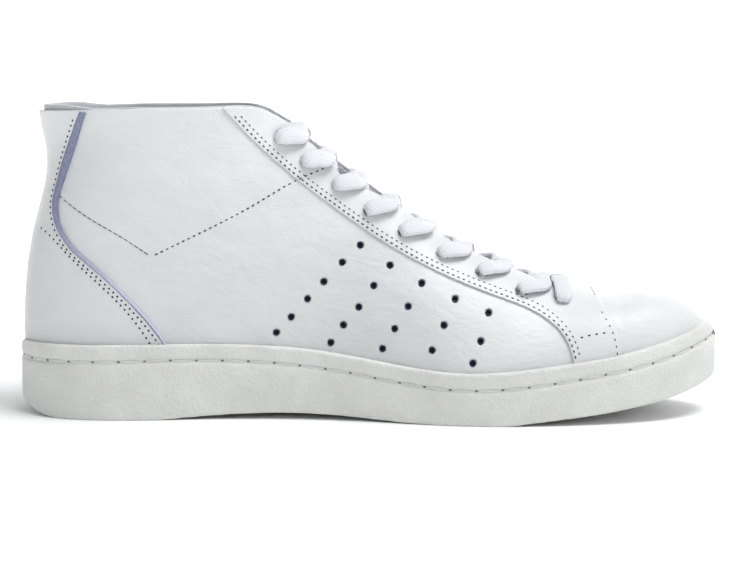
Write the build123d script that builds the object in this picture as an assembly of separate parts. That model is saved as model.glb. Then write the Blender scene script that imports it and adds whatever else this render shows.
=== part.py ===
"""A left-foot leather high top on a stitched cup sole, in millimetres.

+X points to the toe, +Z up, and -Y is the medial (arch) side. The origin is the middle of the
bounding box on the floor. The upper is a set of closed skins, lofted through one fan of
sections and set in by their depth below its outer surface. Each panel is the space between two
skins, cut along its own lines as seen from the side.
"""

from build123d import *

import math
import os
from collections import namedtuple

# ---------------------------------------------------------------- driving dimensions
BALL_HALF_WIDTH = 53.0
FIT = 0.15  # cup wall to upper
GAP = 0.1  # between neighbouring pieces
REACH = 90.0  # past the shoe on either side

# Depths below the outer surface: (outer face, inner face).
OVERLAY = (0.0, 1.1)
BASE = (1.2, 2.4)
MIDDLE = (2.5, 3.5)
LINING = (3.6, 4.3)
PIPING = (0.6, 1.1)
COLLAR_ROLL = (2.5, 6.2)
TONGUE_LEATHER = (10.6, 11.8)
TONGUE_FOAM = (11.9, 14.8)
TONGUE_LINING = (14.9, 15.8)

THROAT_HALF_WIDTH = 12.0
THROAT_TOE_X = 84.0
EYELET_RADIUS = 2.6
INNER_EYELET_RADIUS = 3.3
ROLL_DROP, ROLL_RISE = 4.0, 0.4  # collar roll, below and above the leather's top edge
LACE_RADIUS = 1.7
VENT_RADIUS = 1.1
AGLET_RADIUS, AGLET_LENGTH = 1.7, 22.0
INSOLE_BOARD = 2.0
SOCK_LINER = 4.0
FILLER = 4.0
WALL_GROOVE = (2.2, 1.1)  # width and depth of the stitch groove
STITCH_DROP = 6.8  # groove below the rim
TREAD_GROOVE = (2.4, 1.5)  # width and depth

# ---------------------------------------------------------------- sole lines
# Plan outline of the side wall, from the toe round the medial side and back.
OUTLINE = [
    (148.6, -4),
    (143, -21),
    (129, -35),
    (108, -45),
    (82, -51),
    (52, -BALL_HALF_WIDTH),
    (24, -48),
    (-6, -38.5),
    (-36, -33.5),
    (-68, -34.5),
    (-98, -37.5),
    (-124, -34),
    (-141.5, -21.5),
    (-148.6, 0),
    (-141.5, 21.5),
    (-124, 34),
    (-96, 38.5),
    (-66, 40.5),
    (-34, 43.5),
    (-4, 48),
    (25, 52),
    (50, BALL_HALF_WIDTH),
    (78, 50),
    (102, 41.5),
    (123, 28.5),
    (140, 12),
]
RIM = [(-165, 31.2), (-110, 31.2), (-60, 31.4), (-17, 28.2), (14, 23.6), (42, 21.4)]
RIM += [(80, 24.8), (119, 31.6), (143, 39), (165, 48)]
HEEL_TUCK = [(-165, 16), (-149, 6.5), (-138, 1.4), (-125, 0)]
ARCH = [(-86, 0), (-66, 1.5), (-40, 2.5), (-10, 1.9), (10, 0.6), (26, 0)]
TOE_SPRING = [(58, 0), (79, 2.4), (101, 5.0), (116, 7.5), (131, 10.8), (147, 16.2), (165, 25)]
FLOOR = [(-165, 10), (-140, 8.6), (-110, 8), (-66, 9.3), (-40, 10.5), (-10, 9.8), (26, 8), (58, 8)]
FLOOR += [(79, 10.4), (101, 13), (116, 15.5), (131, 18.8), (147, 24), (165, 32)]
GROOVES_X = [-118, -108, -98, -88, -60, -46, -32, 34, 44, 54, 64, 74, 84, 94, 104, 114]

# ---------------------------------------------------------------- upper, fan of sections
# Each section is an arch in the plane through its bottom point (bx, bz) and top point (tx, tz).
# widest is the share of the way up where it reaches its half-widths, medial and lateral. low and
# high are its roundness below and above that, ridge is the top point's own y, and ahead is how
# far the plane moves back for each millimetre of depth.
Section = namedtuple("Section", "bx bz tx tz widest medial lateral low high ridge ahead")
SECTIONS = [
    Section(144.6, 8, 144.6, 35.0, 0.50, 10.5, 2.5, 2.4, 2.2, -4, 1.0),
    Section(140.8, 4, 140.8, 43.2, 0.45, 18.5, 9, 2.8, 2.3, -5, 0.9),
    Section(132, 1, 132, 48.8, 0.42, 27.5, 17, 3.2, 2.4, -6, 0.6),
    Section(119, 0, 119, 51.0, 0.38, 35.5, 26.5, 3.6, 2.4, -7, 0.3),
    Section(99, -2, 99, 51.8, 0.35, 43, 38, 4, 2.3, -7, 0),
    Section(77, -3, 78, 55.8, 0.32, 47.3, 45.6, 4, 1.85, -5, 0),
    Section(50, -3, 52, 66.5, 0.28, 48.6, 48.6, 4, 1.7, -4, 0),
    Section(20, -3, 25, 82.0, 0.25, 43, 47, 4, 1.75, -3, 0),
    Section(-14, -3, 5, 97.0, 0.24, 32.5, 42, 4, 2.0, -1.5, 0),
    Section(-52, -3, -9, 107.5, 0.26, 29.5, 37.5, 3.8, 2.1, 0, 0),
    Section(-92, -3, -17.5, 115.3, 0.30, 32.3, 34.5, 3.4, 2.2, 0, 0),
    Section(-124, -3, -23.5, 120.3, 0.36, 33.2, 34, 3.0, 2.2, 0, 0),
    Section(-141.5, 9, -29.5, 126, 0.40, 32.5, 33.5, 2.5, 2.3, 0, 0),
    Section(-147.2, 36, -35.5, 132, 0.43, 31.5, 32.5, 2.2, 2.3, 0, 0),
    Section(-145.5, 63, -40, 139, 0.46, 31, 32, 2.1, 2.3, 0, 0),
    Section(-139.8, 89, -45, 152, 0.46, 30.5, 31.5, 2.0, 2.5, 0, 0),
    Section(-137.4, 114, -58, 166, 0.46, 31, 32, 2.0, 2.6, 0, 0),
    Section(-131.4, 138, -74, 181, 0.46, 32, 33, 2.0, 2.6, 0, 0),
]
ARCH_POINTS = 33

# ---------------------------------------------------------------- panel lines, from the side
COLLAR = [(-165, 128.6), (-100, 129.2), (-62, 129.7), (-44, 128.4), (-34, 123.2)]
COLLAR += [(-26, 118.5), (-10, 109)]
HEEL_EDGE = [(-117.6, 134), (-123.5, 111), (-130.6, 91), (-127, 74.7), (-115, 63.4), (-100.6, 50.3)]
HEEL_EDGE += [(-84.6, 31), (-72, -6)]
HEEL_PIPING = [(-114.4, 134), (-120.2, 111), (-127.4, 91), (-124.4, 76.4), (-113.3, 65.6), (-99, 52.2)]
HEEL_PIPING += [(-83.6, 31.8), (-71.5, -6)]
EYESTAY_EDGE = [(-66, 136), (-47.8, 115.6), (-12.6, 86.2), (13, 69.6), (54, 51.4), (71, 44.4)]
EYESTAY_EDGE += [(81, 35.5), (84.6, 24), (85, -6)]
EYESTAY_FRONT = [(106, -6), (105.2, 24), (102.6, 39), (98.5, 47), (93.5, 60)]
QUARTER_FRONT = [(96, -6), (94, 30), (86, 45), (72, 66)]
EYELETS = [(81.5, 49.9), (64.6, 53.6), (48.1, 60.9), (31.6, 68.6), (15.6, 77.9), (1.3, 86.7)]
EYELETS += [(-12.1, 97.2), (-25.5, 107.3), (-36.4, 117.2)]
EYELET_BAND = [(88, 36), (60, 42), (25, 58), (-10, 80), (-34, 100), (-46, 112), (-42, 134)]
VENTS = [(-3.2, 72.1), (-10.7, 65), (-18.4, 57), (-25.2, 49.8), (-32, 42.3), (-38.2, 35.8)]
VENTS += [(9.2, 64.1), (2.4, 55.7), (-3.8, 46.8), (-10.2, 39.2), (-15.5, 31.7)]
VENTS += [(22.4, 57.1), (16.7, 47.7), (11.1, 38.4), (6.1, 30)]
VENTS += [(36.2, 50.8), (31.4, 40.5), (26.5, 30.3), (50, 45.4), (46.5, 34.3), (43.2, 25.4)]
TONGUE_LOW = [(73, 34), (30, 52), (0, 70), (-25, 90), (-42, 104)]
TONGUE_TOP = [(-42, 104), (-24, 124)]
# Each loose end of the lace drops inside the collar and lies on the sock liner: x, |y| and z.
TAIL = [(-52, 13, 105), (-62, 12, 92), (-67, 11, 76), (-67, 10, 58), (-62, 10, 42), (-51, 10, 29)]
TAIL += [(-36, 11, 20.5), (-18, 13, 19), (2, 14.5, 18.6), (22, 13.5, 17.2), (38, 12, 16.9)]
CROSSING = (1.4, -6.2)  # height of the lateral and medial strands over the ridge where they cross
BAR_Y = (-16, -6, 6, 16)  # points the toe-most lace passes over


def closed_face(paths, low):
    """A face in a side plane: splines and straight runs through the paths, joined in turn."""
    edges = []
    for path, following in zip(paths, paths[1:] + paths[:1]):
        points = [Vector(x, low, z) for x, z in path]
        if len(points) > 2:
            edges.append(Edge.make_spline(points))
        elif len(points) == 2:
            edges.append(Edge.make_line(points[0], points[1]))
        after = Vector(following[0][0], low, following[0][1])
        if (after - points[-1]).length > 0.001:
            edges.append(Edge.make_line(points[-1], after))
    return Face(Wire(edges))


def region(*paths, low=-REACH, high=REACH):
    """Everything inside these side-view lines, from y = low to y = high."""
    return Solid.extrude(closed_face(list(paths), low), Vector(0, high - low, 0))


def box(x0, x1, y0, y1, z0, z1):
    return Pos((x0 + x1) / 2, (y0 + y1) / 2, (z0 + z1) / 2) * Box(x1 - x0, y1 - y0, z1 - z0)


def one(shape):
    """The largest solid of a cut, without the crumbs."""
    return max(shape.solids(), key=lambda s: s.volume)


def raised(path, rise):
    return [(x, z + rise) for x, z in path]


# ---------------------------------------------------------------- skins of the upper
def station_point(s, depth, angle):
    """The point of section s at this depth: angle 0 is its top and 180 its bottom."""
    shift = -depth * s.ahead
    bottom = Vector(s.bx + shift, 0, s.bz)
    top = Vector(s.tx + shift, 0, s.tz)
    up = (top - bottom).normalized()
    bottom = bottom + up * depth
    top = top - up * depth
    height = (top - bottom).length
    middle = s.widest * height
    cosine = math.cos(math.radians(angle))
    sine = math.sin(math.radians(angle))
    power, half = (s.high, height - middle) if cosine > 0 else (s.low, middle)
    along = middle + math.copysign(half * abs(cosine) ** (2 / power), cosine)
    side = s.medial if sine > 0 else s.lateral
    centre = s.ridge * max(0.0, (along - middle) / (height - middle))
    width = (side - depth) * abs(sine) ** (2 / power)
    point = bottom + up * along
    return Vector(point.X, centre - math.copysign(width, sine), point.Z)


def arch_points(s, depth):
    """Points spaced evenly over section s, from the lateral foot to the medial foot."""
    dense = [station_point(s, depth, angle / 2) for angle in range(-358, 359)]
    travelled = [0.0]
    for before, after in zip(dense, dense[1:]):
        travelled.append(travelled[-1] + (after - before).length)
    points = []
    k = 0
    for i in range(ARCH_POINTS - 1):
        goal = travelled[-1] * i / (ARCH_POINTS - 1)
        while travelled[k + 1] < goal:
            k += 1
        share = (goal - travelled[k]) / (travelled[k + 1] - travelled[k])
        points.append(dense[k] + (dense[k + 1] - dense[k]) * share)
    return points + [dense[-1]]


def skin(depth):
    """The closed body that lies this far below the upper's outer surface."""
    even = [i / (ARCH_POINTS - 1) for i in range(ARCH_POINTS)]
    wires = [Wire([Edge.make_spline(arch_points(s, depth), parameters=even)]) for s in SECTIONS]
    over = Shell.make_loft(wires).faces()[0]
    ends = []
    for wire in (wires[0], wires[-1]):
        ends.append(min(over.edges(), key=lambda e: (e.center() - wire.center()).length))
    feet = [e for e in over.edges() if e not in ends]
    # The two feet can run opposite ways, and the strip that isn't twisted is the smaller one.
    strips = [Face.make_surface_from_curves(a, feet[1]) for a in (feet[0], feet[0].reversed())]
    under = min(strips, key=lambda face: face.area)
    caps = [Face(Wire([e, Edge.make_line(e @ 0, e @ 1)])) for e in ends]
    return Solid(Shell([over, under] + caps))


OUTER_SKIN = skin(0)
throat = box(-75, THROAT_TOE_X - 8, -THROAT_HALF_WIDTH, THROAT_HALF_WIDTH, 40, 200)
throat += Pos(THROAT_TOE_X - 8, 0, 120) * Cylinder(THROAT_HALF_WIDTH, 160)


def above(rise):
    """Everything over the sole floor, this far above it."""
    return region(raised(FLOOR, rise), [(165, 220), (-165, 220)])


def slab(low, high):
    """A sheet that follows the sole floor between two heights above it."""
    return region(raised(FLOOR, low), raised(FLOOR, high)[::-1])


def under_collar(rise):
    """Everything of the upper up to this far above the collar line, outside the throat."""
    path = raised(COLLAR, rise)
    side_view = region(path, [(200, path[-1][1]), (200, -20)], [(-165, -20), (-165, 100)])
    return (side_view & above(GAP)) - throat


leather_region = under_collar(0)
lining_region = under_collar(-ROLL_DROP)
roll_region = region(raised(COLLAR, GAP - ROLL_DROP), raised(COLLAR, ROLL_RISE)[::-1]) - throat
SIDE = {"medial": -1, "lateral": 1}
half = {
    "medial": box(-200, 200, -REACH, -GAP / 2, -30, 220),
    "lateral": box(-200, 200, GAP / 2, REACH, -30, 220),
}
front = region(QUARTER_FRONT, [(72, 220), (220, 220)], [(220, -6)])
behind = region([(x - GAP, z) for x, z in QUARTER_FRONT], [(72 - GAP, 220), (-220, 220)], [(-220, -6)])
eyestay_area = region(EYESTAY_EDGE, [(106, -6)], EYESTAY_FRONT, [(93.5, 220), (-66, 220)])
heel_area = region(HEEL_EDGE, [(-72, -30), (-220, -30)], [(-220, 134)])
piping_area = region([(x + GAP, z) for x, z in HEEL_EDGE], HEEL_PIPING[::-1])


def layer(depths, within):
    """The space between two skins, inside the region given."""
    outer = OUTER_SKIN if depths[0] == 0 else skin(depths[0])
    return (outer & within) - skin(depths[1])


parts = {}
overlay = layer(OVERLAY, leather_region)
parts["eyestay"] = one(overlay & eyestay_area)
parts["heel_overlay"] = one(overlay & heel_area)
piping = layer(PIPING, leather_region) & piping_area
for side in SIDE:
    parts["heel_piping_" + side] = one(piping & half[side])
base = layer(BASE, leather_region)
parts["vamp"] = one(base & front)
for side in SIDE:
    parts["quarter_" + side] = one(base & behind & half[side])
middle = layer(MIDDLE, lining_region)
parts["toe_puff"] = one(middle & region([(108, -10), (106, 220)], [(220, 220), (220, -10)]))
heel_cup = region([(-220, 76), (-128, 74)], [(-100, 60), (-84, 36)], [(-76, -10), (-220, -10)])
parts["heel_stiffener"] = one(middle & heel_cup)
band = region(EYELET_BAND, [(20, 134), (88, 80)])
ankle = region([(-124, 84), (-124, 124)], [(-64, 124), (-66, 112)], [(-80, 84)])
for side in SIDE:
    parts["eyelet_reinforcement_" + side] = one(middle & band & half[side])
    parts["ankle_pad_" + side] = one(middle & ankle & half[side])
lining = layer(LINING, lining_region)
parts["vamp_lining"] = one(lining & front)
for side in SIDE:
    parts["quarter_lining_" + side] = one(lining & behind & half[side])
parts["collar_roll"] = one(layer(COLLAR_ROLL, roll_region))

# ---------------------------------------------------------------- sole
def outline_prism(inward, low=-5, high=60):
    """The upright body inside the side wall's outline, moved inward by this much."""
    points = []
    count = len(OUTLINE)
    for i in range(count):
        before, here, after = (Vector(*OUTLINE[(i + k) % count]) for k in (-1, 0, 1))
        along = ((here - before).normalized() + (after - here).normalized()).normalized()
        points.append(here + Vector(-along.Y, along.X) * -inward + Vector(0, 0, low))
    return Solid.extrude(Face(Wire([Edge.make_spline(points, periodic=True)])), Vector(0, 0, high - low))


side_wall = outline_prism(0)
profile = region(HEEL_TUCK, ARCH, TOE_SPRING, RIM[::-1])
groove_line = raised(RIM, -STITCH_DROP)
groove_high, groove_low = WALL_GROOVE[0] / 2, -WALL_GROOVE[0] / 2
groove_band = region(raised(groove_line, groove_high), raised(groove_line, groove_low)[::-1])
pocket = outline_prism(10) & slab(-FILLER, 1)
over_floor = above(0)
cup = side_wall & profile & box(-160, 160, -REACH, REACH, 0, 60)
cup -= skin(BASE[0] - FIT) & over_floor
# The wall is thinner where the overlays run down inside it.
over_panels = skin(-FIT) & over_floor
cup -= over_panels & region(
    [(x + FIT, z) for x, z in HEEL_PIPING], [(-71.5, -30), (-220, -30)], [(-220, 134)]
)
cup -= over_panels & region(
    [(x - FIT, z - FIT) for x, z in EYESTAY_EDGE],
    [(106 + FIT, -6)],
    [(x + FIT, z) for x, z in EYESTAY_FRONT],
    [(93.5, 220), (-66, 220)],
)
cup -= pocket
cup -= (side_wall - outline_prism(WALL_GROOVE[1])) & groove_band
bottom = [HEEL_TUCK, ARCH, TOE_SPRING]
groove_tops = [raised(path, TREAD_GROOVE[1])[::-1] for path in bottom[::-1]]
tread = outline_prism(7) & region(*bottom, *groove_tops)
for x in GROOVES_X:
    cup -= tread & box(x, x + TREAD_GROOVE[0], -60, 60, -2, 30)
parts["cupsole"] = one(cup)
thread = (outline_prism(0.3) - outline_prism(WALL_GROOVE[1] - 0.05)) & groove_band
thread_band = region(raised(groove_line, 0.8), raised(groove_line, -0.8)[::-1])
parts["sidewall_stitching"] = one(thread & thread_band)
parts["foam_filler"] = one(outline_prism(10 + GAP) & slab(-FILLER + GAP, -GAP / 2))
inside = skin(LINING[1] + GAP)
parts["insole_board"] = one(inside & slab(GAP, GAP + INSOLE_BOARD))
liner_low = 2 * GAP + INSOLE_BOARD
parts["sock_liner"] = one(inside & slab(liner_low, liner_low + SOCK_LINER))

# ---------------------------------------------------------------- tongue
tongue_area = region(TONGUE_LOW, TONGUE_TOP, [(73, 130), (73, 34)])
for name, depths in (
    ("tongue", TONGUE_LEATHER),
    ("tongue_padding", TONGUE_FOAM),
    ("tongue_lining", TONGUE_LINING),
):
    parts[name] = one((skin(depths[0]) & tongue_area) - skin(depths[1]))

# ---------------------------------------------------------------- vents, eyelets and lace
def hit(start, direction, shape):
    """Where a ray first meets the shape, and the outward normal there."""
    found = shape.find_intersection_points(Axis(start, direction))
    point, normal = min(found, key=lambda pair: (pair[0] - Vector(*start)).length)
    return point, normal if normal.dot(Vector(*direction)) < 0 else normal * -1


def from_side(x, z, side):
    return hit((x, side * 200, z), (0, -side, 0), OUTER_SKIN)


def from_top(x, y):
    return hit((x, y, 300), (0, 0, -1), OUTER_SKIN)


def pin(start, end, radius):
    way = end - start
    return Solid.make_cylinder(radius, way.length, Plane(start, z_dir=way))


OVER = LACE_RADIUS + 0.9
UNDER = LINING[1] + LACE_RADIUS + 0.5
outside, inside_of = {}, {}
for level, (x, z) in enumerate(EYELETS):
    for side in (-1, 1):
        point, normal = from_side(x, z, side)
        outside[level, side] = point + normal * OVER
        inside_of[level, side] = point - normal * UNDER


def strand(side, crossing):
    """Half of the lace from its toe-most eyelet to its last, crossing the ridge at this height."""
    route = [outside[0, side], inside_of[0, side]]
    for level in range(len(EYELETS) - 1):
        here, there = inside_of[level, side], outside[level + 1, -side]
        under, normal = from_top(here.X + (there.X - here.X) * 0.22, side * 9.5)
        route.append(under - normal * (UNDER - 0.6))
        centre, normal = from_top(here.X + (there.X - here.X) * 0.5, 0)
        route.append(centre + normal * crossing)
        over, normal = from_top(here.X + (there.X - here.X) * 0.8, -side * 10)
        route.append(over + normal * (OVER + 1.0))
        route.append(there)
        route.append(inside_of[level + 1, -side])
        side = -side
    return route + [lace_end[side]]


def tube(route, radius):
    """A round cord along straight runs and the largest arcs that they leave room for."""
    radii = []
    for before, here, after in zip(route, route[1:], route[2:]):
        turn = (here - before).get_angle(after - here)
        shorter = min((here - before).length, (after - here).length)
        radii.append(0.45 * shorter / math.tan(math.radians(turn) / 2))
    path = FilletPolyline(*route, radius=radii)
    print("cord length", round(path.length, 1))
    return sweep(Plane(path @ 0, z_dir=path % 0) * Circle(radius), path, transition=Transition.RIGHT)


def hand_over(side):
    """Where the laced cord ends and its loose tail begins, inside the collar."""
    x, y, z = TAIL[0]
    return (inside_of[len(EYELETS) - 1, side] + Vector(x, side * y, z)) * 0.5


lace_end = {side: hand_over(side) for side in (-1, 1)}
lateral_strand, medial_strand = strand(1, CROSSING[0]), strand(-1, CROSSING[1])
bar = []
for y in BAR_Y:
    point, normal = from_top((outside[0, 1].X + outside[0, -1].X) / 2, y)
    bar.append(point + normal * (OVER + 0.3))
parts["shoelace"] = tube(medial_strand[::-1] + bar + lateral_strand, LACE_RADIUS)
for name, side in SIDE.items():
    run = [lace_end[side]] + [Vector(x, side * y, z) for x, y, z in TAIL]
    way = (run[-1] - run[-2]).normalized()
    parts["lace_tail_" + name] = tube(run, LACE_RADIUS)
    parts["aglet_" + name] = pin(run[-1], run[-1] + way * AGLET_LENGTH, AGLET_RADIUS)


def eyelet_pins(side, radius):
    levels = range(len(EYELETS))
    return Compound([pin(outside[k, side], inside_of[k, side], radius) for k in levels])


for name, side in SIDE.items():
    outer_holes = eyelet_pins(side, EYELET_RADIUS)
    inner_holes = eyelet_pins(side, INNER_EYELET_RADIUS)
    vents = []
    for x, z in VENTS:
        point, normal = from_side(x, z, side)
        vents.append(pin(point + normal * 2, point - normal * 3.2, VENT_RADIUS))
    parts["eyestay"] = one(parts["eyestay"] - outer_holes)
    parts["quarter_" + name] = one(parts["quarter_" + name] - outer_holes - Compound(vents))
    for layer_name in ("eyelet_reinforcement_", "quarter_lining_"):
        parts[layer_name + name] = one(parts[layer_name + name] - inner_holes)

os.makedirs("parts", exist_ok=True)
for name, part in parts.items():
    bounds = part.bounding_box()
    print(name, part.is_valid, round(part.volume), bounds.min, bounds.max)
    export_step(part, "parts/" + name + ".step")
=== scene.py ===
"""Looks for the leather high top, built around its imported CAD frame. Metres, +X toe, +Z up."""

import math
import random

import bpy
import numpy as np
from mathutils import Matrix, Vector, noise
from mathutils.bvhtree import BVHTree


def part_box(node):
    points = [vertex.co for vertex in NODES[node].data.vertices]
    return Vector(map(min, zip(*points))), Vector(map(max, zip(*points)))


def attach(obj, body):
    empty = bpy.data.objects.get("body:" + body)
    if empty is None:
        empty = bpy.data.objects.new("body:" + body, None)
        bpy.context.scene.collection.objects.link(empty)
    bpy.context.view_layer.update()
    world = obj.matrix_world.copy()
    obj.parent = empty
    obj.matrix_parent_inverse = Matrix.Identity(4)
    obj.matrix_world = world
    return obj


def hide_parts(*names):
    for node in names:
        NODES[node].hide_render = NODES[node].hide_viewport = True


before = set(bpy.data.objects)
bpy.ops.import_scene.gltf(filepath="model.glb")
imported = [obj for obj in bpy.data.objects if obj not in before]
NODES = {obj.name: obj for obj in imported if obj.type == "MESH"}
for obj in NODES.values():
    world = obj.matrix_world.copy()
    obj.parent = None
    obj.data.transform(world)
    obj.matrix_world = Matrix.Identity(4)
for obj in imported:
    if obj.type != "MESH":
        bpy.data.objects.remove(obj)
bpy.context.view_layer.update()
MM = 0.001
SIDE_NAMES = {-1: "medial", 1: "lateral"}
SIDES = tuple(SIDE_NAMES)
random.seed(7)

# ------------------------------------------------------------------ camera
camera = bpy.data.objects.new("camera", bpy.data.cameras.new("camera"))
bpy.context.scene.collection.objects.link(camera)
camera.data.lens = 112.56
camera.data.sensor_width = 36
camera.location = (0.003, -1.0, 0.164)
camera.rotation_euler = (math.radians(90 - 6.27), 0, 0)
bpy.context.scene.camera = camera


# ------------------------------------------------------------------ materials
class Nodes:
    """A short way to write a material's node tree."""

    def __init__(self, name):
        self.material = bpy.data.materials.new(name)
        self.material.use_nodes = True
        self.tree = self.material.node_tree
        self.shader = self.tree.nodes["Principled BSDF"]
        self.coordinates = self.tree.nodes.new("ShaderNodeTexCoord")

    def add(self, kind, inputs=(), **settings):
        node = self.tree.nodes.new("ShaderNode" + kind)
        for key, value in settings.items():
            setattr(node, key, value)
        for key, value in dict(inputs).items():
            self.set(node, key, value)
        return node

    def set(self, node, key, value):
        if isinstance(value, bpy.types.NodeSocket):
            self.tree.links.new(value, node.inputs[key])
        else:
            node.inputs[key].default_value = value

    def place(self, scale=(1, 1, 1), turn=(0, 0, 0)):
        inputs = {"Vector": self.coordinates.outputs["Object"], "Scale": scale, "Rotation": turn}
        return self.add("Mapping", inputs).outputs["Vector"]

    def noise(self, scale, detail=3.0, roughness=0.55, distortion=0.0, vector=None):
        vector = vector or self.place()
        node = self.add("TexNoise", {"Vector": vector, "Scale": scale, "Detail": detail})
        node.inputs["Roughness"].default_value = roughness
        node.inputs["Distortion"].default_value = distortion
        return node.outputs["Fac"]

    def cells(self, scale):
        node = self.add("TexVoronoi", {"Vector": self.place(), "Scale": scale}, feature="F1")
        return node.outputs["Distance"]

    def remap(self, value, low, high, to_low=0.0, to_high=1.0):
        node = self.add("MapRange", {"Value": value, "From Min": low, "From Max": high})
        node.inputs["To Min"].default_value = to_low
        node.inputs["To Max"].default_value = to_high
        return node.outputs["Result"]

    def math(self, operation, first, second=0.0):
        node = self.add("Math", {0: first, 1: second}, operation=operation)
        return node.outputs["Value"]

    def blend(self, factor, first, second):
        node = self.add("Mix", {"Factor": factor}, data_type="RGBA")
        node.inputs[6].default_value = (*first, 1)
        node.inputs[7].default_value = (*second, 1)
        return node.outputs[2]

    def bumps(self, *layers):
        """Bump maps, coarse to fine, each a height, a depth in metres and a strength."""
        normal = None
        for height, depth, strength in layers:
            node = self.add("Bump", {"Height": height, "Distance": depth, "Strength": strength})
            if normal:
                self.set(node, "Normal", normal)
            normal = node.outputs["Normal"]
        self.set(self.shader, "Normal", normal)

    def finish(self, **values):
        for key, value in values.items():
            self.set(self.shader, key.replace("_", " "), value)
        return self.material


def leather(name, wrinkles):
    m = Nodes(name)
    warp = m.place(scale=(0.8, 1.0, 1.7), turn=(0, 0.25, 0))
    broad = m.noise(26, 4, 0.6, 0.5, warp)
    crease = m.math("ABSOLUTE", m.math("SUBTRACT", m.noise(46, 5, 0.62, 0.9, warp), 0.5))
    crease = m.remap(crease, 0.0, 0.09)
    crinkle = m.math("ABSOLUTE", m.math("SUBTRACT", m.noise(150, 3, 0.6, 0.6, warp), 0.5))
    crinkle = m.remap(crinkle, 0.0, 0.12)
    grain = m.cells(1150)
    tone = m.blend(m.remap(broad, 0.3, 0.7), (0.64, 0.662, 0.667), (0.70, 0.718, 0.724))
    m.bumps(
        (broad, 0.0016, 0.35 * wrinkles),
        (crease, 0.00030, 0.32 * wrinkles),
        (crinkle, 0.00014, 0.34 * wrinkles),
        (grain, 0.00009, 0.30),
    )
    rough = m.remap(m.noise(240, 2), 0.3, 0.7, 0.42, 0.56)
    return m.finish(Base_Color=tone, Roughness=rough, Coat_Weight=0.08, Coat_Roughness=0.35)


def rubber():
    m = Nodes("rubber_white")
    pebble = m.noise(760, 2, 0.5)
    grit = m.noise(1700, 2)
    tone = m.blend(m.remap(m.noise(60, 4), 0.35, 0.65), (0.66, 0.665, 0.65), (0.73, 0.735, 0.72))
    m.bumps((pebble, 0.0006, 0.9), (grit, 0.0002, 0.6))
    return m.finish(Base_Color=tone, Roughness=0.62)


def knit(name, dark, light, pitch=1500):
    m = Nodes(name)
    waves = []
    for turn in ((0, 0, 0), (0.4, 1.2, 0.5)):
        wave = m.add("TexWave", {"Vector": m.place(turn=turn), "Scale": pitch * 0.35, "Distortion": 1.5})
        waves.append(wave.outputs["Fac"])
    weave = m.math("MULTIPLY", *waves)
    m.bumps((weave, 0.00025, 0.6), (m.noise(900, 3), 0.0001, 0.5))
    tone = m.blend(m.remap(weave, 0.0, 0.8), dark, light)
    return m.finish(Base_Color=tone, Roughness=0.9, Sheen_Weight=0.25, Sheen_Roughness=0.5)


def woven_lace():
    """Flat tubular weave: small V rows that run along the lace's own UVs, in metres."""
    m = Nodes("lace_white")
    row_pitch, rib_count = 0.00125, 9
    uv = m.add("SeparateXYZ", {"Vector": m.coordinates.outputs["UV"]})
    across = m.math("ABSOLUTE", m.math("SUBTRACT", uv.outputs["Y"], 0.5))
    slant = m.math("ADD", uv.outputs["X"], m.math("MULTIPLY", across, 0.006))
    rows = m.math("SINE", m.math("MULTIPLY", slant, 2 * math.pi / row_pitch))
    ribs = m.math("SINE", m.math("MULTIPLY", uv.outputs["Y"], 2 * math.pi * rib_count))
    weave = m.math("ADD", m.math("MULTIPLY", rows, 0.5), m.math("MULTIPLY", ribs, 0.35))
    m.bumps((weave, 0.00030, 0.55), (m.noise(3000, 2), 0.00006, 0.5))
    tone = m.blend(m.remap(weave, -0.8, 0.8), (0.69, 0.70, 0.74), (0.77, 0.775, 0.80))
    return m.finish(Base_Color=tone, Roughness=0.85, Sheen_Weight=0.3, Sheen_Roughness=0.5)


def plain(name, dark, light, roughness, scale=400, depth=0.0001):
    m = Nodes(name)
    grain = m.noise(scale, 3)
    m.bumps((grain, depth, 0.5))
    return m.finish(Base_Color=m.blend(m.remap(grain, 0.3, 0.7), dark, light), Roughness=roughness)


def dyed_edge():
    """A fibrous raw edge in lavender blue, paler low down."""
    m = Nodes("edge_blue")
    fibre = m.noise(1400, 3)
    height = m.add("SeparateXYZ", {"Vector": m.coordinates.outputs["Object"]}).outputs["Z"]
    pale = m.remap(height, 0.082, 0.050)
    shade = m.math("ADD", m.math("MULTIPLY", pale, 0.72), m.math("MULTIPLY", m.remap(fibre, 0.3, 0.7), 0.3))
    m.bumps((fibre, 0.0005, 0.9))
    return m.finish(Base_Color=m.blend(shade, (0.17, 0.19, 0.30), (0.60, 0.62, 0.80)), Roughness=0.85)


LEATHER_SOFT = leather("leather_soft", 1.0)
LEATHER_FIRM = leather("leather_firm", 0.55)
RUBBER = rubber()
LINING = knit("lining_grey", (0.42, 0.43, 0.46), (0.62, 0.62, 0.65))
COLLAR = knit("collar_grey", (0.50, 0.51, 0.54), (0.70, 0.70, 0.73))
SOCK = knit("sock_grey", (0.55, 0.55, 0.57), (0.74, 0.74, 0.75), 1100)
LACE = woven_lace()
EDGE_BLUE = dyed_edge()
NAVY = plain("navy_thread", (0.012, 0.016, 0.06), (0.03, 0.035, 0.10), 0.7, 1800)
# Near-black navy: painted shade for the inside of the vents and the eyelets.
HOLE_SHADE = plain("hole_shade_black", (0.006, 0.008, 0.025), (0.012, 0.014, 0.04), 0.9)
THREAD = plain("sole_thread", (0.66, 0.66, 0.64), (0.74, 0.74, 0.72), 0.8, 1500)
# Dark grey: painted shade in the holes where the sole thread goes into the rubber.
THREAD_HOLE_SHADE = plain("sole_thread_hole_shade", (0.16, 0.16, 0.17), (0.26, 0.26, 0.26), 0.8)
FOAM = plain("foam", (0.6, 0.6, 0.56), (0.75, 0.75, 0.7), 0.95)
AGLET = plain("aglet_film", (0.8, 0.8, 0.8), (0.9, 0.9, 0.9), 0.25)

# ------------------------------------------------------------------ helpers
VOXEL_SHARE = 1.0


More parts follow.
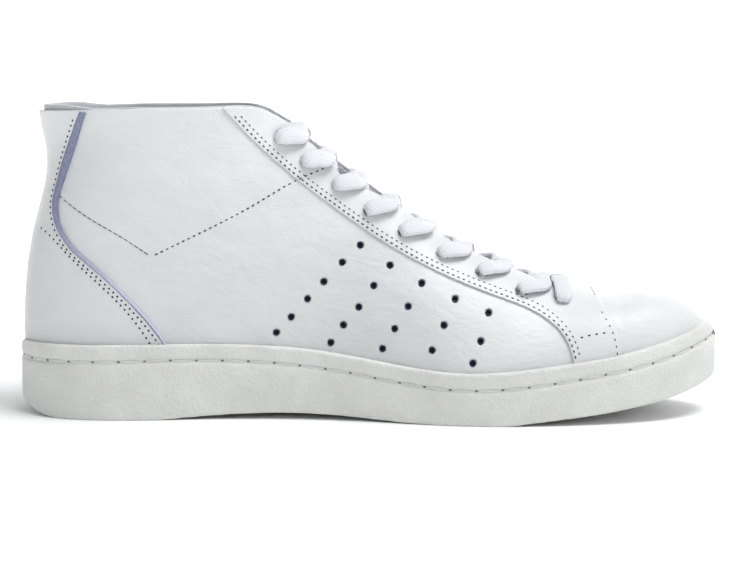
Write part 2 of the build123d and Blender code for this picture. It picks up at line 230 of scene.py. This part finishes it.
def add_mesh(name, points, faces, material):
    mesh = bpy.data.meshes.new(name)
    mesh.from_pydata([tuple(p) for p in points], [], faces)
    mesh.materials.append(material)
    mesh.validate()
    mesh.polygons.foreach_set("use_smooth", [True] * len(mesh.polygons))
    piece = bpy.data.objects.new(name, mesh)
    bpy.context.scene.collection.objects.link(piece)
    return piece


def mesh_arrays(*names):
    """All vertices and triangles of these CAD nodes."""
    points, faces = [], []
    for name in names:
        mesh = NODES[name].data
        base = len(points)
        points += [v.co.copy() for v in mesh.vertices]
        faces += [tuple(base + i for i in p.vertices) for p in mesh.polygons]
    return points, faces


def tree_of(*names):
    points, faces = mesh_arrays(*names)
    return BVHTree.FromPolygons(points, faces)


def rounded(name, nodes, voxel, material, body="shoe", rounds=6, shape=None):
    """A soft-edged copy of CAD nodes: remeshed in voxels of this size in mm, smoothed, then shaped."""
    points, faces = mesh_arrays(*nodes)
    piece = add_mesh(name, points, faces, material)
    weld = piece.modifiers.new("weld", "WELD")
    weld.merge_threshold = 1e-6
    remesh = piece.modifiers.new("remesh", "REMESH")
    remesh.mode = "VOXEL"
    remesh.voxel_size = voxel * MM * VOXEL_SHARE
    smooth = piece.modifiers.new("smooth", "SMOOTH")
    smooth.factor = 0.5
    smooth.iterations = rounds
    bake(piece)
    piece.data.materials.clear()
    piece.data.materials.append(material)
    if shape:
        shape(piece.data)
    piece.data.polygons.foreach_set("use_smooth", [True] * len(piece.data.polygons))
    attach(piece, body)
    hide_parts(*nodes)
    return piece


def bake(piece):
    """Applies every modifier."""
    graph = bpy.context.evaluated_depsgraph_get()
    mesh = bpy.data.meshes.new_from_object(piece.evaluated_get(graph))
    piece.modifiers.clear()
    piece.data = mesh


def spline(points, count):
    """Even points along a natural cubic curve through these points."""
    points = np.array(points, float)
    steps = np.linalg.norm(np.diff(points, axis=0), axis=1)
    t = np.concatenate([[0], np.cumsum(steps)])
    n = len(points)
    h = np.diff(t)
    system = np.eye(n)
    right = np.zeros((n, points.shape[1]))
    for i in range(1, n - 1):
        system[i, i - 1 : i + 2] = h[i - 1], 2 * (h[i - 1] + h[i]), h[i]
        right[i] = 6 * ((points[i + 1] - points[i]) / h[i] - (points[i] - points[i - 1]) / h[i - 1])
    bend = np.linalg.solve(system, right)
    dense = []
    for i in range(n - 1):
        for b in np.linspace(0, 1, 24, endpoint=False):
            a = 1 - b
            curve = h[i] ** 2 / 6 * ((a**3 - a) * bend[i] + (b**3 - b) * bend[i + 1])
            dense.append(a * points[i] + b * points[i + 1] + curve)
    dense = np.array(dense + [points[-1]])
    travelled = np.concatenate([[0], np.cumsum(np.linalg.norm(np.diff(dense, axis=0), axis=1))])
    even = np.linspace(0, travelled[-1], count)
    return np.stack([np.interp(even, travelled, dense[:, k]) for k in range(points.shape[1])], 1)


def length_of(path):
    return float(np.linalg.norm(np.diff(np.array(path, float), axis=0), axis=1).sum())


def offset(path, distance):
    """A side-view path moved to its left by this distance."""
    path = np.array(path, float)
    along = np.gradient(path, axis=0)
    along /= np.linalg.norm(along, axis=1)[:, None]
    return path + np.stack([-along[:, 1], along[:, 0]], 1) * distance


UPPER = tree_of("eyestay", "heel_overlay", "vamp", "quarter_medial", "quarter_lateral")
SOLE = tree_of("cupsole")


def from_side(x, z, side, tree=UPPER):
    """Where a line across the shoe at (x, z), in mm, first meets its surface, in metres."""
    return tree.ray_cast(Vector((x * MM, side * 0.2, z * MM)), Vector((0, -side, 0)))[:2]


def from_top(x, y):
    """Where a line straight down at (x, y), in mm, first meets the upper, in metres."""
    return UPPER.ray_cast(Vector((x * MM, y * MM, 0.3)), Vector((0, 0, -1)))[:2]


def leather_round(x, z, side, probes):
    """The middle and the outward normal of the leather round a hole, from points about it."""
    hits = [from_side(x + dx, z + dz, side) for dx, dz in probes]
    hits = [hit for hit in hits if hit[0] is not None]
    centre = sum((hit[0] for hit in hits), Vector()) / len(hits)
    normal = sum((hit[1] for hit in hits), Vector()).normalized()
    return centre, normal


def ring_points(centre, normal, radius, count):
    """Points evenly round a circle that faces along this normal. The radius is in mm."""
    right = normal.cross(Vector((0, 0, 1))).normalized()
    up = right.cross(normal)
    angles = [2 * math.pi * k / count for k in range(count)]
    return [centre + (right * math.cos(a) + up * math.sin(a)) * radius * MM for a in angles]


def skin(faces, base, rings, count):
    """Faces between successive rings of this many points, the first ring starting at base."""
    for r in range(rings - 1):
        for k in range(count):
            a, b = base + r * count + k, base + r * count + (k + 1) % count
            faces.append((a, b, b + count, a + count))


def closed_tube(faces, base, rings, count):
    """A skin with both ends closed."""
    skin(faces, base, rings, count)
    last = base + (rings - 1) * count
    faces.append(tuple(range(base, base + count))[::-1])
    faces.append(tuple(range(last, last + count)))


def dress(material, *nodes):
    """Gives CAD nodes a material."""
    for node in nodes:
        NODES[node].data.materials.clear()
        NODES[node].data.materials.append(material)


# ------------------------------------------------------------------ leather panels
VENTS = [(-3.2, 72.1), (-10.7, 65), (-18.4, 57), (-25.2, 49.8), (-32, 42.3), (-38.2, 35.8)]
VENTS += [(9.2, 64.1), (2.4, 55.7), (-3.8, 46.8), (-10.2, 39.2), (-15.5, 31.7)]
VENTS += [(22.4, 57.1), (16.7, 47.7), (11.1, 38.4), (6.1, 30)]
VENTS += [(36.2, 50.8), (31.4, 40.5), (26.5, 30.3), (50, 45.4), (46.5, 34.3), (43.2, 25.4)]


PIT_RADIUS, PIT_DEPTH = 1.5, 1.5


def dimpled(shape):
    """The same shaping, and then a pit in the leather at each vent."""

    def shape_and_pit(mesh):
        shape(mesh)
        for x, z in VENTS:
            for vertex in mesh.vertices:
                reach = math.hypot(vertex.co.x / MM - x, vertex.co.z / MM - z)
                if reach < PIT_RADIUS:
                    depth = PIT_DEPTH * MM * min(1.0, (PIT_RADIUS - reach) * 2)
                    vertex.co.y -= math.copysign(depth, vertex.co.y)

    return shape_and_pit


def wrinkle(strength, size, toe_fill=0.0):
    """Soft wrinkles pushed into a leather panel, deepest where the ankle and the toe bend.

    toe_fill is how far the leather ahead of the eyestay stands out, in mm.
    """

    def shape(mesh):
        count = len(mesh.vertices)
        places = np.empty(count * 3, np.float32)
        mesh.vertices.foreach_get("co", places)
        normals = np.empty(count * 3, np.float32)
        mesh.vertex_normals.foreach_get("vector", normals)
        places, normals = places.reshape(-1, 3), normals.reshape(-1, 3)
        x, z = places[:, 0] / MM, places[:, 2] / MM
        ankle = np.exp(-(((x + 62) / 42) ** 2) - ((z - 88) / 34) ** 2)
        quarter = np.exp(-(((x + 10) / 50) ** 2) - ((z - 52) / 26) ** 2)
        toe = np.exp(-(((x - 100) / 22) ** 2) - ((z - 46) / 12) ** 2)
        share = 0.25 + 0.75 * np.minimum(1.0, ankle + 0.7 * quarter + 0.5 * toe)
        scaled = places / (size * MM)
        scaled[:, 0] += 0.6 * scaled[:, 2]
        scaled[:, 2] *= 1.5
        wave = np.array([noise.fractal(Vector(p), 1.0, 2.1, 3) for p in scaled.tolist()])
        fill = toe_fill * np.clip((x - 105.5) / 10, 0, 1)
        places += normals * ((wave * strength * share + fill) * MM)[:, None]
        mesh.vertices.foreach_set("co", places.ravel())
        mesh.update()

    return shape


def leather_pieces():
    """The outer leather. The firm pieces are the two that are stitched on top."""
    rounded("vamp_leather", ["vamp"], 0.6, LEATHER_SOFT, shape=wrinkle(0.22, 13, 1.1))
    for side in SIDE_NAMES.values():
        shape = dimpled(wrinkle(0.30, 15))
        rounded("quarter_leather_" + side, ["quarter_" + side], 0.55, LEATHER_SOFT, shape=shape)
    rounded("eyestay_leather", ["eyestay"], 0.5, LEATHER_FIRM, rounds=4, shape=wrinkle(0.12, 13))
    rounded("heel_leather", ["heel_overlay"], 0.5, LEATHER_FIRM, rounds=4, shape=wrinkle(0.16, 16))


leather_pieces()


LIFT_START, LIFT_RUN, LIFT = -112, 16, 2.0


def lift_back(mesh):
    """The collar roll stands a little higher at the back of the heel."""
    for vertex in mesh.vertices:
        share = min(1.0, max(0.0, (LIFT_START - vertex.co.x / MM) / LIFT_RUN))
        vertex.co.z += LIFT * MM * share * share * (3 - 2 * share)


rounded("collar_lining_roll", ["collar_roll"], 0.5, COLLAR, rounds=8, shape=lift_back)
for side in SIDE_NAMES.values():
    rounded("lining_" + side, ["quarter_lining_" + side], 0.7, LINING, rounds=4)
rounded("lining_toe", ["vamp_lining"], 0.7, LINING, rounds=4)


# Where the trim starts along the shoe, its height there, and how fast it falls, in mm.
TOE_TRIM, HEEL_TRIM = (142.5, 39.2, 0.22), (145.0, 31.2, 0.28)


def soften_rim(mesh):
    """Trims the wall's top edge along a curve that falls away past the toe and the heel."""
    for vertex in mesh.vertices:
        start, height, fall = TOE_TRIM if vertex.co.x > 0 else HEEL_TRIM
        past = abs(vertex.co.x / MM) - start
        top = height - fall * past**2
        if past > 0 and vertex.co.z / MM > top:
            vertex.co.z = top * MM


rounded("cup_rubber", ["cupsole"], 0.6 / VOXEL_SHARE, RUBBER, rounds=6, shape=soften_rim)
insole = rounded("sock_liner_foam", ["sock_liner"], 1.2, SOCK, rounds=8)
rounded("tongue_face", ["tongue"], 0.7, LEATHER_SOFT, body="tongue", rounds=6, shape=wrinkle(0.3, 16))
tongue_pad = rounded("tongue_foam", ["tongue_padding"], 0.9, FOAM, body="tongue")
rounded("tongue_back", ["tongue_lining"], 0.7, LINING, body="tongue")
dress(FOAM, "toe_puff", "heel_stiffener", "foam_filler", "insole_board")
dress(FOAM, "ankle_pad_medial", "ankle_pad_lateral")
dress(LINING, "eyelet_reinforcement_medial", "eyelet_reinforcement_lateral")

# ------------------------------------------------------------------ stitched rows
# Side-view lines as (x, z), in mm: the overlay's edges and the rows that follow no edge.
HEEL_EDGE = [(-115.6, 134), (-118.8, 128.4), (-121.6, 121.6), (-124.3, 114.3), (-127, 106.7), (-129.8, 96.9)]
HEEL_EDGE += [(-131.2, 91.5), (-131.2, 84.5), (-127.2, 75), (-115, 63.6), (-100.6, 50.5)]
HEEL_EDGE += [(-84.6, 31), (-72, -6)]
HEEL_SECOND = [(-142, 80.5), (-135, 77), (-126.5, 69.5), (-117, 61)]
HEEL_SECOND += [(-106, 51), (-97, 41), (-89.5, 30)]
EYESTAY_EDGE = [(-66, 136), (-47.8, 115.6), (-12.6, 86.2), (13, 69.6), (54, 51.4), (71, 44.4)]
EYESTAY_EDGE += [(81, 35.5), (84.6, 24), (85, -6)]
EYESTAY_FRONT = [(106, -6), (105.2, 24), (102.6, 39), (98.5, 47), (93.5, 60)]
ANKLE_SEAM = [[(-130.5, 93.3), (-117.3, 84.4), (-102.5, 76), (-90, 67.8)], [(-90, 67.8), (-69.3, 77.8)]]
ANKLE_SEAM[1] += [(-48.7, 88.3), (-28.9, 99.4), (-14.3, 105)]
PATCH_TOP = [(85.2, 34.8), (91.5, 36.4), (100.6, 37.6)]
STITCH_PITCH = 2.35
CREST_X, CREST_LOWEST, CREST_PITCH = 95.3, 47.8, 1.7 * STITCH_PITCH
# Below this share of sideways normal, the leather is too flat for a row seen from the side.
LEAST_SIDEWAYS = 0.12
# Length and radius of a stitch, in mm.
ROUND_STITCH, LONG_STITCH, FAINT_STITCH, TOUCHING_STITCH = (0.9, 0.40), (1.2, 0.33), (1.0, 0.26), (2.2, 0.2)


def capsule(points, faces, centre, along, normal, length, radius):
    """Adds one stitch: a small rounded grain lying on the surface."""
    across = along.cross(normal).normalized()
    base = len(points)
    rings = ((-0.5, 0.35), (-0.32, 0.9), (0, 1.0), (0.32, 0.9), (0.5, 0.35))
    count = 6
    for share, size in rings:
        for k in range(count):
            angle = 2 * math.pi * k / count
            out = across * math.cos(angle) + normal * (0.8 * math.sin(angle))
            points.append(centre + along * (share * length) + out * (radius * size))
    closed_tube(faces, base, len(rings), count)


def trimmed(path, low, high):
    """The part of a dense side-view path between two heights."""
    return np.array([p for p in path if low <= p[1] <= high])


def side_row(path, side):
    """Surface points along a side-view path, one pitch apart."""
    count = max(2, int(length_of(path) / STITCH_PITCH))
    found = []
    for x, z in spline(path[:: max(1, len(path) // 60)], count):
        point, normal = from_side(x, z, side)
        if point is not None and abs(normal.y) > LEAST_SIDEWAYS:
            found.append((point, normal))
    return found


def row_paths():
    """Every stitched row as a side-view path, in mm, and its stitches' length and radius."""
    heel = spline(HEEL_EDGE, 300)
    stay = spline(EYESTAY_EDGE, 400)
    front = spline(EYESTAY_FRONT, 200)
    rows = [(trimmed(offset(heel, -1.8), 29.0, 129), ROUND_STITCH)]
    rows.append((spline(HEEL_SECOND, 100), ROUND_STITCH))
    rows.append((trimmed(offset(stay, 1.4), 24.5, 127.5), LONG_STITCH))
    rows.append((trimmed(offset(stay, 3.3), 24.5, 127.5), FAINT_STITCH))
    rows.append((trimmed(offset(front, 2.0), 26, 50.3), FAINT_STITCH))
    rows.append((spline(ANKLE_SEAM[0], 100), TOUCHING_STITCH))
    rows.append((spline(ANKLE_SEAM[1], 100), LONG_STITCH))
    rows.append((spline(PATCH_TOP, 60), LONG_STITCH))
    return rows


def leather_stitches():
    """Every stitch in the leather, on both sides and over the crest of the toe."""
    points, faces = [], []
    rows = []
    for path, stitch in row_paths():
        rows += [(side_row(path, side), stitch) for side in SIDES]
    crest = []
    for y in np.arange(-24, 18, CREST_PITCH):
        point, normal = from_top(CREST_X, y)
        if point is not None and point.z > CREST_LOWEST * MM:
            crest.append((point, normal))
    rows.append((crest, FAINT_STITCH))
    for row, (length, radius) in rows:
        for k in range(1, len(row) - 1):
            point, normal = row[k]
            span = row[k + 1][0] - row[k - 1][0]
            if span.length <= 4 * STITCH_PITCH * MM:
                centre = point + normal * 0.05 * MM
                capsule(points, faces, centre, span.normalized(), normal, length * MM, radius * MM)
    piece = add_mesh("leather_stitching", points, faces, NAVY)
    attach(piece, "shoe")


leather_stitches()

# ------------------------------------------------------------------ blue edge
OVERLAY_RISE = 1.15
# The strip's cross-section: share of its width, and height over the quarter in mm.
EDGE_SECTION = ((0.0, 0.3), (0.0, 1.4), (0.3, 1.5), (0.75, 1.45), (1.0, 1.25), (1.0, -0.3))
# Height up the shoe and the strip's width there, in mm.
EDGE_WIDTHS = [(134, 2.2), (122, 2.6), (112, 2.9), (104, 2.6), (95, 2.0), (85, 1.8), (76, 1.4), (64, 0.9)]
EDGE_WIDTHS += [(50, 0.8), (30, 0.9)]


def beneath_overlay(x, z, side, panel):
    """The quarter's surface, or where it has ended under the overlay, the place it would have."""
    point, normal = from_side(x, z, side, panel)
    if point is None:
        point, normal = from_side(x, z, side)
        point = None if point is None else point - normal * OVERLAY_RISE * MM
    return point, normal


def edge_strips():
    """The dyed raw edge that shows along the heel overlay, widest at the ankle."""
    heights = [z for z, _ in EDGE_WIDTHS][::-1]
    widths = [w for _, w in EDGE_WIDTHS][::-1]
    count = len(EDGE_SECTION)
    for side, name in SIDE_NAMES.items():
        panel = tree_of("quarter_" + name)
        path = trimmed(spline(HEEL_EDGE, 500), 30.8, 128.9)
        ahead = offset(path, 1.0) - path
        points, faces = [], []
        for (x, z), (dx, dz) in zip(path, ahead):
            width = float(np.interp(z, heights, widths))
            reaches = [width * share for share, _ in EDGE_SECTION]
            found = [beneath_overlay(x + dx * reach, z + dz * reach, side, panel) for reach in reaches]
            if all(point is not None for point, _ in found):
                for (point, normal), (_, rise) in zip(found, EDGE_SECTION):
                    points.append(point + normal * rise * MM)
        closed_tube(faces, 0, len(points) // count, count)
        strip = add_mesh("heel_edge_" + name, points, faces, EDGE_BLUE)
        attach(strip, "shoe")
        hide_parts("heel_piping_" + name)


edge_strips()

# ------------------------------------------------------------------ vents
VENT_PROBES = ((1.9, 0), (-1.9, 0), (0, 1.9), (0, -1.9))
# Height over the leather and radius, from the rim down into the cup, in mm.
VENT_RINGS = ((-0.3, 1.30), (0.05, 1.22), (0.05, 0.85), (-0.5, 0.72), (-1.1, 0.6))


def vent_cups():
    """Painted shade at each vent: a near-black navy rim and cup that stand for the shade inside the hole."""
    points, faces = [], []
    count = 24
    for x, z in VENTS:
        for side in SIDES:
            centre, normal = leather_round(x, z, side, VENT_PROBES)
            base = len(points)
            for rise, radius in VENT_RINGS:
                points += ring_points(centre + normal * (rise + 0.1) * MM, normal, radius, count)
            skin(faces, base, len(VENT_RINGS), count)
            faces.append(tuple(range(len(points) - count, len(points))))
    piece = add_mesh("vent_shade_cups", points, faces, HOLE_SHADE)
    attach(piece, "shoe")


vent_cups()

# ------------------------------------------------------------------ sole stitching
SOLE_STITCH_PITCH = 10.8
THREAD_RADIUS, THREAD_SPREAD = 0.42, 0.30
# How far along its pitch each strand starts and stops.
STRAND_START, STRAND_STOP = 0.04, 0.96


def groove_loop():
    """Points round the stitch groove, from the height of the CAD thread along the shoe."""
    points, _ = mesh_arrays("sidewall_stitching")
    xs = np.array([p.x for p in points]) / MM
    zs = np.array([p.z for p in points]) / MM
    bins = np.linspace(xs.min(), xs.max(), 60)
    middles, heights = [], []
    for low, high in zip(bins, bins[1:]):
        inside = (xs >= low) & (xs <= high)
        if inside.sum() > 3:
            middles.append((low + high) / 2)
            heights.append((zs[inside].min() + zs[inside].max()) / 2)
    loop = []
    for k in range(720):
        angle = 2 * math.pi * k / 720
        way = Vector((math.cos(angle), math.sin(angle), 0))
        x = 100 * way.x
        for _ in range(4):
            z = float(np.interp(x, middles, heights))
            point, normal, _, _ = SOLE.ray_cast(way * 0.3 + Vector((0, 0, z * MM)), -way)
            x = point.x / MM
        loop.append((point, normal))
    return loop


def sole_stitches():
    """Two bowed strands to each stitch, and a dark dot of painted shade where they go into the rubber."""
    loop = groove_loop()
    path = np.array([p for p, _ in loop] + [loop[0][0]])
    outward = np.array([n for _, n in loop] + [loop[0][1]])
    travelled = np.concatenate([[0], np.cumsum(np.linalg.norm(np.diff(path, axis=0), axis=1))])
    count = int(round(travelled[-1] / (SOLE_STITCH_PITCH * MM)))
    pitch = travelled[-1] / count

    def at(distance):
        distance %= travelled[-1]
        point = Vector([np.interp(distance, travelled, path[:, k]) for k in range(3)])
        normal = Vector([np.interp(distance, travelled, outward[:, k]) for k in range(3)])
        return point, normal.normalized()

    thread = ([], [])
    ends = ([], [])
    for k in range(count):
        shares = [STRAND_START + (STRAND_STOP - STRAND_START) * i / 10 for i in range(11)]
        for rise in (THREAD_SPREAD, -THREAD_SPREAD):
            strand(thread, [at(pitch * (k + share)) for share in shares], rise)
        point, normal = at(pitch * k)
        along = (at(pitch * k + MM)[0] - point).normalized()
        # A dark dot of painted shade over the stitch hole.
        capsule(*ends, point + normal * 0.1 * MM, along, normal, 1.2 * MM, 0.55 * MM)
    for name, (points, faces), material in (
        ("sole_thread", thread, THREAD),
        ("sole_thread_holes", ends, THREAD_HOLE_SHADE),
    ):
        piece = add_mesh(name, points, faces, material)
        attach(piece, "shoe")
        if name == "sole_thread":
            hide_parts("sidewall_stitching")


def strand(store, stations, rise):
    """One lock stitch: a thin cord that rises out of the groove and goes back in."""
    points, faces = store
    base = len(points)
    count = 7
    for i, (point, normal) in enumerate(stations):
        share = i / (len(stations) - 1)
        up = Vector((0, 0, 1))
        lift = 0.35 * math.sin(math.pi * share) - 0.05
        side_shift = rise * math.sin(math.pi * share)
        centre = point + normal * lift * MM + up * side_shift * MM
        radius = THREAD_RADIUS * math.sin(math.pi * min(max(share, 0.06), 0.94)) ** 0.4 * MM
        for k in range(count):
            angle = 2 * math.pi * k / count
            points.append(centre + (normal * math.cos(angle) + up * math.sin(angle)) * radius)
    closed_tube(faces, base, len(stations), count)


sole_stitches()

# ------------------------------------------------------------------ laces
EYELETS = [(81.5, 49.9), (64.6, 53.6), (48.1, 60.9), (31.6, 68.6), (15.6, 77.9), (1.3, 86.7)]
EYELETS += [(-12.1, 97.2), (-25.5, 107.3), (-36.4, 117.2)]
EYELET_PROBES = ((3.4, 0), (-3.4, 0), (-2, -2.6), (2, 2.2), (0, -3.4))
EYELET_RADIUS = 2.28
LACE_WIDTH, LACE_THICKNESS = 7.6, 2.6
TAIL_WIDTH, TAIL_THICKNESS = 5.0, 1.6
# Half the bridge over the throat, and how far its middle stands up, in mm.
THROAT_HALF, CROWN = 12.8, 0.6
TAIL = [(-52, 13, 105), (-62, 12, 92), (-67, 11, 76), (-67, 10, 58), (-62, 10, 42), (-51, 10, 29)]
TAIL += [(-36, 11, 20.5), (-18, 13, 19), (2, 14.5, 18.6), (22, 13.5, 17.2), (38, 12, 16.9)]


def eyelet(level, side):
    """The middle and the outward normal of an eyelet, from the leather round it."""
    return leather_round(*EYELETS[level], side, EYELET_PROBES)


def ridge(x, y):
    """A gently crowned bridge over the throat, between the facings' edges."""
    low, high = (from_top(x, side * THROAT_HALF)[0].z / MM for side in SIDES)
    share = (y + THROAT_HALF) / (2 * THROAT_HALF)
    crown = CROWN * (1 - (y / THROAT_HALF) ** 2)
    slope = (high - low) / (2 * THROAT_HALF) - 2 * CROWN * y / THROAT_HALF**2
    return Vector((x, y, low + (high - low) * share + crown)) * MM, Vector((0, -slope, 1)).normalized()


def ribbon(path, normals, widths, thicknesses, count=16):
    """A flat lace along a path: a rounded band with its own UVs, length then width."""
    points, faces, uvs = [], [], []
    travelled = 0.0
    for i, (centre, normal, width, thickness) in enumerate(zip(path, normals, widths, thicknesses)):
        ahead = path[min(i + 1, len(path) - 1)] - path[max(i - 1, 0)]
        ahead.normalize()
        normal = (normal - ahead * normal.dot(ahead)).normalized()
        across = ahead.cross(normal)
        if i:
            travelled += (centre - path[i - 1]).length
        for k in range(count):
            angle = 2 * math.pi * k / count
            c, s = math.cos(angle), math.sin(angle)
            flat = math.copysign(abs(c) ** 0.85, c)
            thick = math.copysign(abs(s) ** 0.8, s)
            points.append(centre + across * (flat * width / 2) + normal * (thick * thickness / 2))
            uvs.append((travelled, (flat + 1) / 2))
    closed_tube(faces, 0, len(path), count)
    return points, faces, uvs


def merge(name, parts, material):
    """One piece from several ribbons, with their UVs."""
    points, faces, uvs = [], [], []
    for part_points, part_faces, part_uvs in parts:
        base = len(points)
        points += part_points
        uvs += part_uvs
        faces += [tuple(base + i for i in f) for f in part_faces]
    piece = add_mesh(name, points, faces, material)
    layer = piece.data.uv_layers.new(name="UVMap")
    for loop in piece.data.loops:
        layer.data[loop.index].uv = uvs[loop.vertex_index]
    return piece


def swept_lace(stations, count=60):
    """A lace through stations of place, normal, width and thickness, the sizes in mm."""
    places = np.array([tuple(s[0]) for s in stations])
    travelled = np.concatenate([[0], np.cumsum(np.linalg.norm(np.diff(places, axis=0), axis=1))])
    even = np.linspace(0, travelled[-1], count)
    normals = np.array([tuple(s[1].normalized()) for s in stations])
    normals = np.stack([np.interp(even, travelled, normals[:, k]) for k in range(3)], 1)
    widths = np.interp(even, travelled, [s[2] * MM for s in stations])
    thicknesses = np.interp(even, travelled, [s[3] * MM for s in stations])
    path = [Vector(p) for p in spline(places, count)]
    return ribbon(path, [Vector(n) for n in normals], widths, thicknesses)


def lace_end(level, side, ahead):
    """Stations from the facing into an eyelet: the lace folds over the hole and goes in."""
    centre, normal = eyelet(level, side)
    inward = Vector((ahead, -side, 0.0))
    inward = (inward - normal * inward.dot(normal)).normalized()
    size = LACE_WIDTH * random.uniform(0.94, 1.06)
    # Distance towards the throat, height over the leather, width and thickness, in mm.
    steps = [(8.0, 2.2, size, 2.9), (4.4, 2.9, size, 3.2), (1.0, 2.9, size * 0.97, 3.4)]
    steps.append((-1.3, 2.1, size * 0.82, 3.3))
    steps += [(-1.9, 0.9, 5.0, 3.0), (-0.9, -0.6, 3.8, 2.8), (0.0, -2.2, 3.2, 2.6), (0.0, -4.8, 3.2, 2.6)]
    return [((centre + inward * a * MM + normal * b * MM), normal, w, t) for a, b, w, t in steps]


def lace_crossing(level, side, over):
    """The lace from under one facing, across the throat and into the next eyelet up."""
    start, start_normal = eyelet(level, side)
    end, _ = eyelet(level + 1, -side)
    x0, x1 = start.x / MM, end.x / MM

    def station(share, y, rise, width=LACE_WIDTH):
        point, normal = ridge(x0 + (x1 - x0) * share, y)
        return point + normal * rise * MM, normal, width, LACE_THICKNESS

    stations = [(start - start_normal * 6.6 * MM, start_normal, 4.0, 2.4)]
    stations.append(station(0.24, side * 8.5, -5.6, 5.5))
    stations.append(station(0.38, 0, 1.6 if over else -1.6))
    stations.append(station(0.46, -side * 6.5, 1.2 if over else 0.2))
    return swept_lace(stations + lace_end(level + 1, -side, 1.35))


def lace_bar():
    """The straight bar between the two eyelets nearest the toe."""
    stations = lace_end(0, -1, 0.0)[::-1]
    for y in (-12, -5, 5, 12):
        point, up = ridge(82.0 - 0.5 * abs(y) / 12, y)
        stations.append((point + up * 2.4 * MM, up, LACE_WIDTH, LACE_THICKNESS))
    return swept_lace(stations + lace_end(0, 1, 0.0), 80)


def laced_lace():
    """The bar and the crossings. The strand that starts on the lateral side lies on top."""
    parts = [lace_bar()]
    for start in SIDES:
        side = start
        for level in range(len(EYELETS) - 1):
            parts.append(lace_crossing(level, side, over=start > 0))
            side = -side
    piece = merge("lace_through_eyelets", parts, LACE)
    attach(piece, "shoe")
    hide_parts("shoelace")


laced_lace()


def eyelet_rims():
    """Painted shade inside each eyelet: a near-black ring that stands for the shadow at the hole's edge."""
    points, faces = [], []
    count = 20
    for level in range(len(EYELETS)):
        for side in SIDES:
            centre, normal = eyelet(level, side)
            base = len(points)
            for depth in (0.35, 2.0):
                points += ring_points(centre - normal * depth * MM, normal, EYELET_RADIUS, count)
            skin(faces, base, 2, count)
    piece = add_mesh("eyelet_shade_rims", points, faces, HOLE_SHADE)
    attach(piece, "shoe")


eyelet_rims()


def lace_tails():
    """The two loose ends, dropped inside the collar onto the sock liner."""
    for side, name in SIDE_NAMES.items():
        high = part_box("lace_tail_" + name)[1]
        exit_point = Vector((-0.0455, side * 0.0152, high.z - 0.0016))
        route = [exit_point] + [Vector((x, side * y, z)) * MM for x, y, z in TAIL]
        curve = bpy.data.curves.new("tail_route", "CURVE")
        curve.dimensions = "3D"
        line = curve.splines.new("NURBS")
        line.points.add(len(route) - 1)
        for point, place in zip(line.points, route):
            point.co = (*place, 1)
        line.order_u = 3
        line.use_endpoint_u = True
        line.resolution_u = 12
        guide = bpy.data.objects.new("tail_route", curve)
        bpy.context.scene.collection.objects.link(guide)
        bpy.context.view_layer.update()
        sampled = bpy.data.meshes.new_from_object(guide)
        path = [v.co.copy() for v in sampled.vertices]
        bpy.data.objects.remove(guide)
        normals = []
        for i, point in enumerate(path):
            ahead = path[min(i + 1, len(path) - 1)] - path[max(i - 1, 0)]
            normals.append(Vector((0, 1, 0)).cross(ahead).normalized() * -1)
        widths = [TAIL_WIDTH * MM] * len(path)
        thicknesses = [TAIL_THICKNESS * MM] * len(path)
        tail = merge("lace_end_" + name, [ribbon(path, normals, widths, thicknesses)], LACE)
        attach(tail, "shoe")
        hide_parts("lace_tail_" + name)
        dress(AGLET, "aglet_" + name)


lace_tails()

# ------------------------------------------------------------------ floor and light
def floor_white():
    """A pale floor that gives off light away from the shoe, so that it fades into the backdrop."""
    m = Nodes("floor_white")
    away = m.add("VectorMath", {0: m.coordinates.outputs["Object"]}, operation="LENGTH").outputs["Value"]
    m.finish(Emission_Color=(1, 1, 1, 1), Emission_Strength=m.remap(away, 0.17, 0.5, 0.0, 0.8))
    return m.finish(Base_Color=(0.92, 0.92, 0.92, 1), Roughness=0.9)


def backdrop_white():
    m = Nodes("backdrop_white")
    m.finish(Emission_Color=(1, 1, 1, 1), Emission_Strength=1.1)
    return m.finish(Base_Color=(0.9, 0.9, 0.9, 1), Roughness=0.9)


def stage_sheet(name, points, material):
    add_mesh(name, points, [(0, 1, 2, 3)], material)


stage_sheet("floor", [(-4, -3, 0), (4, -3, 0), (4, 3, 0), (-4, 3, 0)], floor_white())
stage_sheet("backdrop", [(-4, 3, 0), (4, 3, 0), (4, 3, 3), (-4, 3, 3)], backdrop_white())

world = bpy.data.worlds.new("studio")
bpy.context.scene.world = world
world.use_nodes = True
world.node_tree.nodes["Background"].inputs["Color"].default_value = (0.97, 0.985, 1.0, 1)
world.node_tree.nodes["Background"].inputs["Strength"].default_value = 0.36


def area_light(name, place, aim, size, power):
    light = bpy.data.lights.new(name, "AREA")
    light.shape = "RECTANGLE"
    light.size, light.size_y = size
    light.energy = power
    lamp = bpy.data.objects.new(name, light)
    bpy.context.scene.collection.objects.link(lamp)
    lamp.location = place
    lamp.rotation_euler = (Vector(aim) - Vector(place)).to_track_quat("-Z", "Y").to_euler()


area_light("top", (0.45, -0.25, 1.3), (0, 0, 0.05), (0.9, 0.7), 16)
area_light("front", (0.6, -1.6, 0.8), (0, 0, 0.06), (0.7, 0.5), 2.5)
bpy.context.scene.view_settings.view_transform = "Standard"
